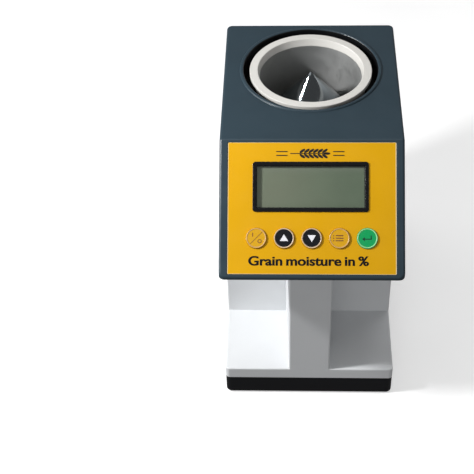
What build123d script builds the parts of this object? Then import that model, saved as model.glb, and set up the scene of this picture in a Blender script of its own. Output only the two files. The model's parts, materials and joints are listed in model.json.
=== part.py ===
"""Bench grain moisture meter: a measuring cell in a round well behind a sloping display panel.

Frame: +Z up, +X to the user's right, the user stands at -Y. The origin is on the table, under the middle of
the meter's outline. All sizes are in millimetres.
"""

from build123d import *
import os
from math import atan2, copysign, cos, radians, sin, tan

os.makedirs("parts", exist_ok=True)

# ---------------------------------------------------------------- driving dimensions

WIDTH = 125.0  # upper housing, side to side
DEPTH = 205.6  # upper housing, nose to back
TOP_Z = 206.0  # flat top face
HEAD_BOTTOM_Z = 141.2  # joint between the two housings
SLOPE_TOP_Y = -33.3  # ridge where the top face meets the sloping face
NOSE_TOP_Z = 143.6  # lower edge of the sloping face
EDGE_RADIUS = 1.8
CORNER_RADIUS = 4.0
WALL = 2.5
GAP = 0.15  # between moulded parts that plug together
FRONT_Y = -DEPTH / 2
BACK_Y = DEPTH / 2

BASE_WIDTH = 124.8  # lower housing
BASE_FRONT_Y = -85.2
BASE_BACK_Y = 102.4
BASE_BOTTOM_Z = 17.6
BAY_FLOOR_Z = 27.5  # top of the low front plate, under the grip bays
BAY_WALL_Y = -25.7  # upright wall at the back of the grip bays
BASE_CORNER_RADIUS = 3.0
BAY_EDGE_RADIUS = 1.2
PILLAR_FRONT_WIDTH = 30.0
PILLAR_BACK_WIDTH = 34.6
DECK_TOP_Z = HEAD_BOTTOM_Z + WALL  # the deck closes the upper housing from below
DECK_FRONT_Y = -98.6
DECK_HOLE_RADIUS = 46.0
CABLE_HOLE_WIDTH, CABLE_HOLE_LENGTH, CABLE_HOLE_Y = 18.0, 44.0, -54.8  # into the pillar

TRAY_WIDTH = 124.8
TRAY_FRONT_Y = -85.2
TRAY_BACK_Y = 102.4
TRAY_CORNER_RADIUS = 4.0
TRAY_EDGE_RADIUS = 1.4
TRAY_BOTTOM_Z = 0.8
TRAY_FLOOR_Z = TRAY_BOTTOM_Z + WALL
FOOT_RADIUS = 6.5
FOOT_POCKET = 1.0
HEAD_POCKET = 1.4  # the tray screws' heads are let in by this much
HEAD_POCKET_RADIUS = 3.2
FEET = [(48.0, -70.8), (-48.0, -70.8), (48.0, 86.8), (-48.0, 86.8)]

CELL_Y = 46.7  # axis of the measuring cell and its well
WELL_RADIUS = 48.5
WELL_WALL = 2.0
WELL_FLOOR_Z = TOP_Z - 18.0
WELL_HOLE_RADIUS = 41.0
RIM_RADIUS = 51.1
RIM_HEIGHT = 1.0
COLLAR_RADIUS = 44.1
COLLAR_TOP_Z = TOP_Z - 0.5
COLLAR_MOUTH_RADIUS = 38.2
ELECTRODE_RADIUS = 36.8  # inside of the outer electrode
ELECTRODE_WALL = 1.8
ELECTRODE_TOP_Z = TOP_Z - 6.0
CELL_FLOOR_Z = 121.0
CELL_BASE_THICKNESS = 6.0
CELL_BASE_RADIUS = 40.4
CONE_TIP_Z = TOP_Z - 2.7
CONE_HALF_ANGLE = 40.0
CONE_BASE_RADIUS = 24.0
CONE_WALL = 1.6
CARRIER_THICKNESS = 5.0
CARRIER_Z = CELL_FLOOR_Z - CELL_BASE_THICKNESS - CARRIER_THICKNESS
CARRIER_SCREW_ORBIT = 33.0
CARRIER_SCREW_DEPTH = 2.6
STUD_RADIUS = 4.0  # solid core of the inner electrode, tapped from below
STUD_TAP_DEPTH = 12.0
M4_RADIUS = 2.0
M4_CLEARANCE_RADIUS = 2.2
PROBE_RADIUS = 2.0
PROBE_ORBIT = 30.4
PROBE_ANGLE = 135.0
PROBE_HEIGHT = 14.0

# Bar load cell under the carrier: fixed at its -X end, loaded at its +X end.
BAR_LENGTH, BAR_SIDE = 80.0, 12.7
BAR_Z = 91.0
BAR_TOP_Z = BAR_Z + BAR_SIDE
BAR_SCREW_X = (24.0, 34.0)
BAR_MIDDLE_X = sum(BAR_SCREW_X) / 2
BAR_FLEX_X, BAR_FLEX_RADIUS, BAR_SLOT = 8.0, 4.9, 2.4
POST_LENGTH, POST_FOOT_LENGTH, POST_FOOT_WIDTH, POST_FOOT_HEIGHT = 22.0, 34.0, 30.0, 4.0
POST_RIB_REACH, POST_RIB_HEIGHT = 5.0, 36.0
POST_TAP_DEPTH = 12.0
POST_SCREW_OFFSET = 11.0
BAR_TAPS = [(x, CELL_Y) for x in BAR_SCREW_X]
POST_TAPS = [(-x, CELL_Y) for x in BAR_SCREW_X]
POST_SCREWS_AT = [(-BAR_MIDDLE_X, CELL_Y + POST_SCREW_OFFSET), (-BAR_MIDDLE_X, CELL_Y - POST_SCREW_OFFSET)]

# Sloping face: local x to the right, local y up the slope, local z out of the face.
SLOPE_RUN = SLOPE_TOP_Y - FRONT_Y
SLOPE_RISE = TOP_Z - NOSE_TOP_Z
SLOPE_ANGLE = atan2(SLOPE_RISE, SLOPE_RUN)
FACE = Plane(
    origin=(0, (SLOPE_TOP_Y + FRONT_Y) / 2, (TOP_Z + NOSE_TOP_Z) / 2),
    x_dir=(1, 0, 0),
    z_dir=(0, -sin(SLOPE_ANGLE), cos(SLOPE_ANGLE)),
)

POCKET_DEPTH = 0.8
POCKET_WIDTH, POCKET_HEIGHT, POCKET_RADIUS = 113.6, 89.2, 0.6
OVERLAY_THICKNESS = 0.5
OVERLAY_FACE = OVERLAY_THICKNESS - POCKET_DEPTH
BEZEL_WIDTH, BEZEL_HEIGHT, BEZEL_RADIUS = 78.1, 34.0, 2.0
WINDOW_WIDTH, WINDOW_HEIGHT = 72.3, 27.8
WINDOW_X, WINDOW_Y = -0.8, 14.4
BEZEL_FACE = 0.5
LENS_WIDTH, LENS_HEIGHT, LENS_THICKNESS = 73.4, 28.9, 1.0
LENS_BACK = -0.9
SLEEVE_WIDTH, SLEEVE_HEIGHT = 75.6, 31.2
SLEEVE_END = -2.6
GLASS_WIDTH, GLASS_HEIGHT, GLASS_THICKNESS = 78.0, 34.0, 2.8
GLASS_FACE = SLEEVE_END - 0.1
DISPLAY_BOARD_FACE = GLASS_FACE - GLASS_THICKNESS
DISPLAY_BOARD_WIDTH, DISPLAY_BOARD_HEIGHT, DISPLAY_BOARD_THICKNESS = 84.0, 42.0, 1.2

KEY_NAMES = ("key_power", "key_up", "key_down", "key_select", "key_enter")
KEY_PITCH = 18.6
KEY_Y = -20.3
KEY_RADIUS = 6.95
KEY_CLEARANCE = 0.2
KEY_FACE = 0.9
KEY_DISH_RADIUS, KEY_DISH_DEPTH = 6.2, 0.2
KEY_FLANGE_RADIUS, KEY_FLANGE_THICKNESS = 8.0, 0.8
KEY_TRAVEL = 0.6
STEM_RADIUS, STEM_END = 2.2, -6.0
KEY_X = [KEY_PITCH * (i - 2) for i in range(len(KEY_NAMES))]

BOARD_FACE = -11.0
BOARD_THICKNESS = 1.6
BOARD_BACK = BOARD_FACE - BOARD_THICKNESS
BOARD_WIDTH, BOARD_HEIGHT, BOARD_Y = 100.0, 66.0, 5.0
BOARD_HOLES = [(47.0, 34.0), (-47.0, 34.0), (47.0, -9.0), (-47.0, -9.0)]
BOARD_BOSS_RADIUS = 3.0
BOARD_PILOT_DEPTH = 6.0
SWITCH_SIDE, SWITCH_HEIGHT, PLUNGER_RADIUS = 6.0, 3.4, 1.75
SWITCH_GAP = 0.05  # left between stem and plunger when a key is fully down
HEADER_LENGTH, HEADER_WIDTH = 40.6, 2.5

CASE_BOSSES = [(56.0, -72.8), (-56.0, -72.8), (56.0, 96.6), (-56.0, 96.6)]
TRAY_BOSSES = [(54.0, -58.0), (-54.0, -58.0), (54.0, -8.0), (-54.0, -8.0), (54.0, 66.0), (-54.0, 66.0)]
BOSS_RADIUS = 4.5
CASE_BOSS_HEIGHT = 20.0
CASE_PILOT_DEPTH = 10.0
TRAY_BOSS_HEIGHT = 22.5
TRAY_PILOT_DEPTH = 12.0
SMALL_HEAD_RADIUS = 2.8
LARGE_HEAD_RADIUS = 3.6
SCREW_RADIUS = 1.5
CLEARANCE_RADIUS = 1.7

DOOR_HALF_WIDTH = 32.7
DOOR_TOP_Z = 101.4
DOOR_GAP = 0.3
HINGE_RADIUS = 2.6
HINGE_Y = BASE_BACK_Y - HINGE_RADIUS
HINGE_Z = 36.0
HINGE_PIN_RADIUS = 1.5
HINGE_CLEARANCE = 0.06
HINGE_PIN_START = 20.0  # the pins reach from here outwards, one at each end of the barrel
BARREL_HALF_LENGTH = DOOR_HALF_WIDTH - DOOR_GAP
GRIP_WIDTH, GRIP_PITCH, GRIP_DEPTH = 20.0, 2.4, 0.6
CRADLE_X = DOOR_HALF_WIDTH + DOOR_GAP
CRADLE_FRONT_Y = 79.8
RIB = 2.5

AA_RADIUS, AA_LENGTH, AA_PITCH = 7.1, 49.2, 15.2
BATTERY_Y = 89.0
BATTERY_Z = [67.4 + AA_PITCH * (i - 1.5) for i in range(4)]
HOLDER_HALF_WIDTH = CRADLE_X - GAP
HOLDER_BACK_Y = 96.6
HOLDER_Z = (36.0, 98.8)
HOLDER_WALL = 1.5
BATTERY_CAP_RADIUS, BATTERY_CAP_LENGTH = 2.7, 1.2
CONTACT_WIDTH, CONTACT_HEIGHT, CONTACT_THICKNESS = 10.0, 11.0, 0.4
SPRING_RADIUS, SPRING_WALL = 3.4, 0.8

SOCKET_X, SOCKET_Z = 47.0, 55.0
SOCKET_FLANGE_RADIUS = 7.0
SOCKET_BODY_RADIUS = 5.5
SOCKET_RECESS = 1.0  # the flange is let into the rear wall by this much
SOCKET_BORE_RADIUS, SOCKET_BORE_DEPTH, SOCKET_PIN_RADIUS = 2.85, 11.0, 1.05


def save(builder, name):
    """Label a finished piece and write it to parts/."""
    builder.part.label = name
    export_step(builder.part, f"parts/{name}.step")


def cell_axis():
    """Vertical axis of the measuring cell."""
    return Axis((0, CELL_Y, 0), (0, 0, 1))


def cell_section():
    """Plane through the cell axis: local x is the radius, local y is the height."""
    return Plane(origin=(0, CELL_Y, 0), x_dir=(1, 0, 0), z_dir=(0, -1, 0))


def flipped(plane):
    """The same plane facing the other way, with the same x direction."""
    return Plane(origin=plane.origin, x_dir=plane.x_dir, z_dir=-plane.z_dir)


def screws(plane, points, head_radius, shank_radius, shank_length):
    """Cross-recess pan-head screws: heads stand on the plane, shanks go to its back."""
    head_height = head_radius * 0.75
    with BuildPart() as group:
        with BuildSketch(plane):
            with Locations(*points):
                Circle(head_radius)
        extrude(amount=head_height)
        tops = group.faces().sort_by(Axis(plane.origin, plane.z_dir))[-len(points):]
        fillet(tops.edges(), head_height * 0.4)
        with BuildSketch(plane.offset(head_height)):
            with Locations(*points):
                Rectangle(head_radius * 1.2, head_radius * 0.25)
                Rectangle(head_radius * 0.25, head_radius * 1.2)
        extrude(amount=-head_height * 0.5, mode=Mode.SUBTRACT)
        with BuildSketch(plane):
            with Locations(*points):
                Circle(shank_radius)
        extrude(amount=-shank_length)
    return group


# ---------------------------------------------------------------- upper housing


def head_corners(bottom_z):
    """Corners (y, z) of the upper housing's side profile, for a given lower edge."""
    return [
        (FRONT_Y, bottom_z),
        (FRONT_Y, NOSE_TOP_Z),
        (SLOPE_TOP_Y, TOP_Z),
        (BACK_Y, TOP_Z),
        (BACK_Y, bottom_z),
    ]


with BuildPart() as upper_housing:
    with BuildSketch(Plane.YZ.offset(-WIDTH / 2)):
        with BuildLine():
            Polyline(*head_corners(HEAD_BOTTOM_Z), close=True)
        make_face()
    extrude(amount=WIDTH)
    fillet(upper_housing.edges().filter_by(Axis.Z), CORNER_RADIUS)
    outer_edges = upper_housing.edges().filter_by(lambda edge: edge.center().Z > HEAD_BOTTOM_Z + 0.1)
    fillet(outer_edges.filter_by(lambda edge: edge.center().Z > NOSE_TOP_Z - 0.1), EDGE_RADIUS)
    with BuildSketch(Plane.YZ.offset(WALL - WIDTH / 2)):
        with BuildLine():
            Polyline(*head_corners(HEAD_BOTTOM_Z - WALL), close=True)
        make_face()
        offset(amount=-WALL, kind=Kind.INTERSECTION)
    extrude(amount=WIDTH - 2 * WALL, mode=Mode.SUBTRACT)

    # Well for the measuring cell, with a raised rim around its mouth.
    with BuildSketch(Plane.XY.offset(TOP_Z)):
        with Locations((0, CELL_Y)):
            Circle(WELL_RADIUS)
    extrude(amount=-2 * WALL, mode=Mode.SUBTRACT)
    with BuildSketch(cell_section()):
        with BuildLine():
            Polyline(
                (WELL_HOLE_RADIUS, WELL_FLOOR_Z),
                (WELL_HOLE_RADIUS, WELL_FLOOR_Z - WELL_WALL),
                (WELL_RADIUS + WELL_WALL, WELL_FLOOR_Z - WELL_WALL),
                (WELL_RADIUS + WELL_WALL, TOP_Z - WALL),
                (RIM_RADIUS, TOP_Z - WALL),
                (RIM_RADIUS, TOP_Z + RIM_HEIGHT),
                (WELL_RADIUS, TOP_Z + RIM_HEIGHT),
                (WELL_RADIUS, WELL_FLOOR_Z),
                close=True,
            )
        rim = make_face()
        fillet(rim.vertices().group_by(Axis.Y)[-1], RIM_HEIGHT * 0.85)
    revolve(axis=cell_axis())

    # Pocket for the overlay, display opening and key holes in the sloping face.
    with BuildSketch(FACE):
        RectangleRounded(POCKET_WIDTH, POCKET_HEIGHT, POCKET_RADIUS)
    extrude(amount=-POCKET_DEPTH, mode=Mode.SUBTRACT)
    with BuildSketch(FACE):
        with Locations((WINDOW_X, WINDOW_Y)):
            Rectangle(SLEEVE_WIDTH + 2 * GAP, SLEEVE_HEIGHT + 2 * GAP)
        with Locations(*[(x, KEY_Y) for x in KEY_X]):
            Circle(KEY_RADIUS + KEY_CLEARANCE)
    extrude(amount=-2 * WALL, mode=Mode.SUBTRACT)

    # Bosses for the main board and for the case screws.
    with BuildSketch(FACE.offset(BOARD_FACE)):
        with Locations(*BOARD_HOLES):
            Circle(BOARD_BOSS_RADIUS)
    extrude(amount=-BOARD_FACE - WALL)
    with BuildSketch(FACE.offset(BOARD_FACE)):
        with Locations(*BOARD_HOLES):
            Circle(SCREW_RADIUS)
    extrude(amount=BOARD_PILOT_DEPTH, mode=Mode.SUBTRACT)
    with BuildSketch(Plane.XY.offset(DECK_TOP_Z)):
        with Locations(*CASE_BOSSES):
            Circle(BOSS_RADIUS)
    extrude(amount=CASE_BOSS_HEIGHT)
    with BuildSketch(Plane.XY.offset(DECK_TOP_Z)):
        with Locations(*CASE_BOSSES):
            Circle(SCREW_RADIUS)
    extrude(amount=CASE_PILOT_DEPTH, mode=Mode.SUBTRACT)
save(upper_housing, "upper_housing")

# ---------------------------------------------------------------- sloping panel

with BuildPart() as front_overlay:
    with BuildSketch(FACE.offset(-POCKET_DEPTH)):
        RectangleRounded(POCKET_WIDTH - 2 * GAP, POCKET_HEIGHT - 2 * GAP, POCKET_RADIUS)
        with Locations((WINDOW_X, WINDOW_Y)):
            Rectangle(SLEEVE_WIDTH + 2 * GAP, SLEEVE_HEIGHT + 2 * GAP, mode=Mode.SUBTRACT)
        with Locations(*[(x, KEY_Y) for x in KEY_X]):
            Circle(KEY_RADIUS + KEY_CLEARANCE, mode=Mode.SUBTRACT)
    extrude(amount=OVERLAY_THICKNESS)
save(front_overlay, "front_overlay")

with BuildPart() as display_bezel:
    with BuildSketch(FACE.offset(OVERLAY_FACE)):
        with Locations((WINDOW_X, WINDOW_Y)):
            RectangleRounded(BEZEL_WIDTH, BEZEL_HEIGHT, BEZEL_RADIUS)
    extrude(amount=BEZEL_FACE - OVERLAY_FACE)
    fillet(display_bezel.faces().sort_by(Axis(FACE.origin, FACE.z_dir))[-1].edges(), 0.3)
    with BuildSketch(FACE.offset(SLEEVE_END)):
        with Locations((WINDOW_X, WINDOW_Y)):
            Rectangle(SLEEVE_WIDTH, SLEEVE_HEIGHT)
    extrude(amount=OVERLAY_FACE - SLEEVE_END)
    with BuildSketch(FACE.offset(LENS_BACK)):
        with Locations((WINDOW_X, WINDOW_Y)):
            RectangleRounded(LENS_WIDTH + GAP, LENS_HEIGHT + GAP, 0.6)
    extrude(amount=2.0, mode=Mode.SUBTRACT)
    with BuildSketch(FACE.offset(SLEEVE_END)):
        with Locations((WINDOW_X, WINDOW_Y)):
            Rectangle(WINDOW_WIDTH, WINDOW_HEIGHT)
    extrude(amount=LENS_BACK - SLEEVE_END, mode=Mode.SUBTRACT)
save(display_bezel, "display_bezel")

with BuildPart() as display_lens:
    with BuildSketch(FACE.offset(LENS_BACK)):
        with Locations((WINDOW_X, WINDOW_Y)):
            RectangleRounded(LENS_WIDTH, LENS_HEIGHT, 0.6)
    extrude(amount=LENS_THICKNESS)
save(display_lens, "display_lens")

with BuildPart() as lcd_glass:
    with BuildSketch(FACE.offset(DISPLAY_BOARD_FACE)):
        with Locations((WINDOW_X, WINDOW_Y)):
            Rectangle(GLASS_WIDTH, GLASS_HEIGHT)
    extrude(amount=GLASS_THICKNESS)
save(lcd_glass, "lcd_glass")

with BuildPart() as display_board:
    with BuildSketch(FACE.offset(DISPLAY_BOARD_FACE - DISPLAY_BOARD_THICKNESS)):
        with Locations((WINDOW_X, WINDOW_Y)):
            RectangleRounded(DISPLAY_BOARD_WIDTH, DISPLAY_BOARD_HEIGHT, 1.0)
    extrude(amount=DISPLAY_BOARD_THICKNESS)
save(display_board, "display_board")


def make_key(x, name):
    """Round key: dished cap, retaining flange behind the panel and a stem towards its switch."""
    axis = Axis(FACE.from_local_coords(Vector(x, KEY_Y, 0)), FACE.z_dir)
    section = Plane(origin=axis.position, x_dir=(1, 0, 0), z_dir=-FACE.y_dir)
    flange_top = -WALL - 0.1
    flange_bottom = flange_top - KEY_FLANGE_THICKNESS
    with BuildPart() as key:
        with BuildSketch(section):
            with BuildLine():
                Polyline(
                    (0, KEY_FACE - KEY_DISH_DEPTH),
                    (KEY_DISH_RADIUS - 0.2, KEY_FACE - KEY_DISH_DEPTH),
                    (KEY_DISH_RADIUS, KEY_FACE),
                    (KEY_RADIUS - 0.3, KEY_FACE),
                    (KEY_RADIUS, KEY_FACE - 0.3),
                    (KEY_RADIUS, flange_top),
                    (KEY_FLANGE_RADIUS, flange_top),
                    (KEY_FLANGE_RADIUS, flange_bottom),
                    (STEM_RADIUS, flange_bottom),
                    (STEM_RADIUS, STEM_END),
                    (0, STEM_END),
                    close=True,
                )
            make_face()
        revolve(axis=axis)
    save(key, name)


for key_x, key_name in zip(KEY_X, KEY_NAMES):
    make_key(key_x, key_name)

with BuildPart() as main_board:
    with BuildSketch(FACE.offset(BOARD_BACK)):
        with Locations((0, BOARD_Y)):
            RectangleRounded(BOARD_WIDTH, BOARD_HEIGHT, 2.0)
        with Locations(*BOARD_HOLES):
            Circle(CLEARANCE_RADIUS, mode=Mode.SUBTRACT)
    extrude(amount=BOARD_THICKNESS)
save(main_board, "main_board")

with BuildPart() as tact_switches:
    with BuildSketch(FACE.offset(BOARD_FACE)):
        with Locations(*[(x, KEY_Y) for x in KEY_X]):
            Rectangle(SWITCH_SIDE, SWITCH_SIDE)
    extrude(amount=SWITCH_HEIGHT)
    with BuildSketch(FACE.offset(BOARD_FACE + SWITCH_HEIGHT)):
        with Locations(*[(x, KEY_Y) for x in KEY_X]):
            Circle(PLUNGER_RADIUS)
    extrude(amount=STEM_END - KEY_TRAVEL - SWITCH_GAP - BOARD_FACE - SWITCH_HEIGHT)
save(tact_switches, "tact_switches")

with BuildPart() as display_header:
    with BuildSketch(FACE.offset(BOARD_FACE)):
        with Locations((WINDOW_X, WINDOW_Y + DISPLAY_BOARD_HEIGHT / 2 - HEADER_WIDTH)):
            Rectangle(HEADER_LENGTH, HEADER_WIDTH)
    extrude(amount=DISPLAY_BOARD_FACE - DISPLAY_BOARD_THICKNESS - BOARD_FACE)
save(display_header, "display_header")

with BuildPart() as board_components:
    back = flipped(FACE.offset(BOARD_BACK))
    with BuildSketch(back):  # processor, amplifiers and memory
        with Locations((-12.0, -8.0)):
            Rectangle(14.0, 14.0)
        with Locations((12.0, -14.0), (12.0, -4.0)):
            Rectangle(7.5, 6.0)
        with Locations((34.0, 6.0)):
            Rectangle(16.0, 6.0)
    extrude(amount=1.7)
    with BuildSketch(back):  # electrolytic capacitors
        with Locations((32.0, -16.0), (-34.0, -18.0)):
            Circle(4.0)
    extrude(amount=9.0)
    with BuildSketch(back):  # buzzer
        with Locations((-34.0, 2.0)):
            Circle(6.0)
    extrude(amount=7.5)
save(board_components, "board_components")

board_screws = screws(
    flipped(FACE.offset(BOARD_BACK)),
    [(x, -y) for x, y in BOARD_HOLES],
    SMALL_HEAD_RADIUS,
    SCREW_RADIUS,
    BOARD_THICKNESS + BOARD_PILOT_DEPTH - 1,
)
save(board_screws, "board_screws")

# ---------------------------------------------------------------- lower housing and tray

with BuildPart() as lower_housing:
    base_length = BASE_BACK_Y - BASE_FRONT_Y
    with BuildSketch(Plane.XY.offset(BASE_BOTTOM_Z)):
        with Locations((0, (BASE_BACK_Y + BASE_FRONT_Y) / 2)):
            RectangleRounded(BASE_WIDTH, base_length, BASE_CORNER_RADIUS)
    extrude(amount=BAY_FLOOR_Z - BASE_BOTTOM_Z)
    lip = lower_housing.edges().group_by(Axis.Z)[-1].filter_by(lambda e: e.center().Y < BAY_WALL_Y)
    fillet(lip, 1.0)
    with BuildSketch(Plane.XY.offset(BASE_BOTTOM_Z)):
        with Locations((0, (BASE_BACK_Y + BAY_WALL_Y) / 2)):
            Rectangle(BASE_WIDTH, BASE_BACK_Y - BAY_WALL_Y)
        fillet(vertices().group_by(Axis.Y)[-1], BASE_CORNER_RADIUS)
        fillet(vertices().group_by(Axis.Y)[0], BAY_EDGE_RADIUS)
    extrude(amount=HEAD_BOTTOM_Z - BASE_BOTTOM_Z)
    with BuildSketch(Plane.XY.offset(BASE_BOTTOM_Z)):
        with BuildLine():
            Polyline(
                (-PILLAR_FRONT_WIDTH / 2, BASE_FRONT_Y),
                (PILLAR_FRONT_WIDTH / 2, BASE_FRONT_Y),
                (PILLAR_BACK_WIDTH / 2, BAY_WALL_Y + 1),
                (-PILLAR_BACK_WIDTH / 2, BAY_WALL_Y + 1),
                close=True,
            )
        make_face()
        fillet(vertices().group_by(Axis.Y)[0], BAY_EDGE_RADIUS)
    extrude(amount=HEAD_BOTTOM_Z - BASE_BOTTOM_Z)
    with BuildSketch(Plane.XY.offset(HEAD_BOTTOM_Z)):
        with Locations((0, (BACK_Y - WALL - GAP + DECK_FRONT_Y) / 2)):
            RectangleRounded(WIDTH - 2 * (WALL + GAP), BACK_Y - WALL - GAP - DECK_FRONT_Y, 1.5)
    extrude(amount=WALL)

    # Hollows: the rear block, the low front plate and the pillar, all open at the bottom.
    with BuildSketch(Plane.XY.offset(BASE_BOTTOM_Z)):
        with Locations((0, (BASE_BACK_Y + BAY_WALL_Y) / 2)):
            Rectangle(BASE_WIDTH - 2 * WALL, BASE_BACK_Y - BAY_WALL_Y - 2 * WALL)
    extrude(amount=HEAD_BOTTOM_Z - BASE_BOTTOM_Z, mode=Mode.SUBTRACT)
    with BuildSketch(Plane.XY.offset(BASE_BOTTOM_Z)):
        with Locations((0, (BASE_FRONT_Y + BAY_WALL_Y) / 2 + WALL)):
            Rectangle(BASE_WIDTH - 2 * WALL, BAY_WALL_Y - BASE_FRONT_Y)
    extrude(amount=BAY_FLOOR_Z - BASE_BOTTOM_Z - WALL, mode=Mode.SUBTRACT)
    with BuildSketch(Plane.XY.offset(BASE_BOTTOM_Z)):
        with BuildLine():
            Polyline(
                (WALL - PILLAR_FRONT_WIDTH / 2, BASE_FRONT_Y + WALL),
                (PILLAR_FRONT_WIDTH / 2 - WALL, BASE_FRONT_Y + WALL),
                (PILLAR_BACK_WIDTH / 2 - WALL, BAY_WALL_Y + WALL + 1),
                (WALL - PILLAR_BACK_WIDTH / 2, BAY_WALL_Y + WALL + 1),
                close=True,
            )
        make_face()
    extrude(amount=HEAD_BOTTOM_Z - BASE_BOTTOM_Z, mode=Mode.SUBTRACT)
    with BuildSketch(Plane.XY.offset(HEAD_BOTTOM_Z)):
        with Locations((0, CELL_Y)):
            Circle(DECK_HOLE_RADIUS)
        with Locations((0, CABLE_HOLE_Y)):
            RectangleRounded(CABLE_HOLE_WIDTH, CABLE_HOLE_LENGTH, 2.0)
        with Locations(*CASE_BOSSES):
            Circle(CLEARANCE_RADIUS)
    extrude(amount=WALL, mode=Mode.SUBTRACT)

    # Columns for the tray screws, webbed to the side walls.
    with BuildSketch(Plane.XY.offset(TRAY_FLOOR_Z)):
        with Locations(*TRAY_BOSSES):
            Circle(BOSS_RADIUS)
    extrude(amount=TRAY_BOSS_HEIGHT)
    with BuildSketch(Plane.XY.offset(BASE_BOTTOM_Z)):
        with Locations(*[(copysign(BASE_WIDTH / 2 - WALL - RIB, x), y) for x, y in TRAY_BOSSES]):
            Rectangle(2 * RIB + 1, RIB)
    extrude(amount=TRAY_FLOOR_Z + TRAY_BOSS_HEIGHT - BASE_BOTTOM_Z)
    with BuildSketch(Plane.XY.offset(TRAY_FLOOR_Z)):
        with Locations(*TRAY_BOSSES):
            Circle(SCREW_RADIUS)
    extrude(amount=TRAY_PILOT_DEPTH, mode=Mode.SUBTRACT)

    # Battery opening in the rear wall, with a cradle of two ribs and a shelf behind it.
    door_bottom = HINGE_Z - HINGE_RADIUS - DOOR_GAP
    with BuildSketch(Plane.XZ.offset(-BASE_BACK_Y)):
        with Locations((0, (DOOR_TOP_Z + DOOR_GAP + door_bottom) / 2)):
            Rectangle(2 * CRADLE_X, DOOR_TOP_Z + DOOR_GAP - door_bottom)
    extrude(amount=WALL, mode=Mode.SUBTRACT)
    wall_inside_y = BASE_BACK_Y - WALL
    with BuildSketch(Plane.XY.offset(door_bottom)):
        with Locations(
            (CRADLE_X + RIB / 2, (CRADLE_FRONT_Y + wall_inside_y) / 2),
            (-CRADLE_X - RIB / 2, (CRADLE_FRONT_Y + wall_inside_y) / 2),
        ):
            Rectangle(RIB, wall_inside_y - CRADLE_FRONT_Y)
    extrude(amount=HOLDER_Z[1] + RIB - door_bottom)
    with BuildSketch(Plane.XY.offset(HOLDER_Z[0] - RIB)):
        with Locations((0, (CRADLE_FRONT_Y + HOLDER_BACK_Y) / 2)):
            Rectangle(2 * CRADLE_X, HOLDER_BACK_Y - CRADLE_FRONT_Y)
    extrude(amount=RIB)
    with BuildSketch(Plane.YZ.offset(-CRADLE_X - RIB)):
        with Locations((HINGE_Y, HINGE_Z)):
            Circle(HINGE_PIN_RADIUS)
    extrude(amount=2 * (CRADLE_X + RIB), mode=Mode.SUBTRACT)

    # Hole for the power socket, with a recess for its flange.
    with BuildSketch(Plane.XZ.offset(-BASE_BACK_Y)):
        with Locations((SOCKET_X, SOCKET_Z)):
            Circle(SOCKET_FLANGE_RADIUS + GAP)
    extrude(amount=SOCKET_RECESS, mode=Mode.SUBTRACT)
    with BuildSketch(Plane.XZ.offset(-BASE_BACK_Y)):
        with Locations((SOCKET_X, SOCKET_Z)):
            Circle(SOCKET_BODY_RADIUS + GAP)
    extrude(amount=WALL, mode=Mode.SUBTRACT)
save(lower_housing, "lower_housing")

with BuildPart() as base_tray:
    with BuildSketch(Plane.XY.offset(TRAY_BOTTOM_Z)):
        with Locations((0, (TRAY_BACK_Y + TRAY_FRONT_Y) / 2)):
            RectangleRounded(TRAY_WIDTH, TRAY_BACK_Y - TRAY_FRONT_Y, TRAY_CORNER_RADIUS)
    extrude(amount=BASE_BOTTOM_Z - TRAY_BOTTOM_Z)
    fillet(base_tray.faces().sort_by(Axis.Z)[0].edges(), TRAY_EDGE_RADIUS)
    with BuildSketch(Plane.XY.offset(TRAY_FLOOR_Z)):
        with Locations((0, (TRAY_BACK_Y + TRAY_FRONT_Y) / 2)):
            Rectangle(TRAY_WIDTH - 2 * WALL, TRAY_BACK_Y - TRAY_FRONT_Y - 2 * WALL)
    extrude(amount=BASE_BOTTOM_Z - TRAY_FLOOR_Z, mode=Mode.SUBTRACT)
    with BuildSketch(Plane.XY.offset(TRAY_BOTTOM_Z)):
        with Locations(*FEET):
            Circle(FOOT_RADIUS + GAP)
    extrude(amount=FOOT_POCKET, mode=Mode.SUBTRACT)
    with BuildSketch(Plane.XY.offset(TRAY_BOTTOM_Z)):
        with Locations(*TRAY_BOSSES, *POST_SCREWS_AT):
            Circle(HEAD_POCKET_RADIUS)
    extrude(amount=HEAD_POCKET, mode=Mode.SUBTRACT)
    with BuildSketch(Plane.XY.offset(TRAY_BOTTOM_Z)):
        with Locations(*TRAY_BOSSES, *POST_SCREWS_AT):
            Circle(CLEARANCE_RADIUS)
    extrude(amount=WALL, mode=Mode.SUBTRACT)
save(base_tray, "base_tray")

with BuildPart() as rubber_feet:
    with BuildSketch(Plane.XY):
        with Locations(*FEET):
            Circle(FOOT_RADIUS)
    extrude(amount=TRAY_BOTTOM_Z + FOOT_POCKET)
    fillet(rubber_feet.faces().sort_by(Axis.Z)[:len(FEET)].edges(), 0.6)
save(rubber_feet, "rubber_feet")

# ---------------------------------------------------------------- measuring cell

CONE_HEIGHT = CONE_BASE_RADIUS / tan(radians(CONE_HALF_ANGLE))
CONE_BASE_Z = CONE_TIP_Z - CONE_HEIGHT
GROOVE_DEPTH = 3.0
COLLAR_WALL = 2.0
ELECTRODE_FOOT_Z = CELL_FLOOR_Z - GROOVE_DEPTH
ELECTRODE_OUTER = ELECTRODE_RADIUS + ELECTRODE_WALL
COLLAR_FLANGE_Z = TOP_Z - 3.2
COLLAR_SLEEVE_Z = TOP_Z - 13.0

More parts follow.
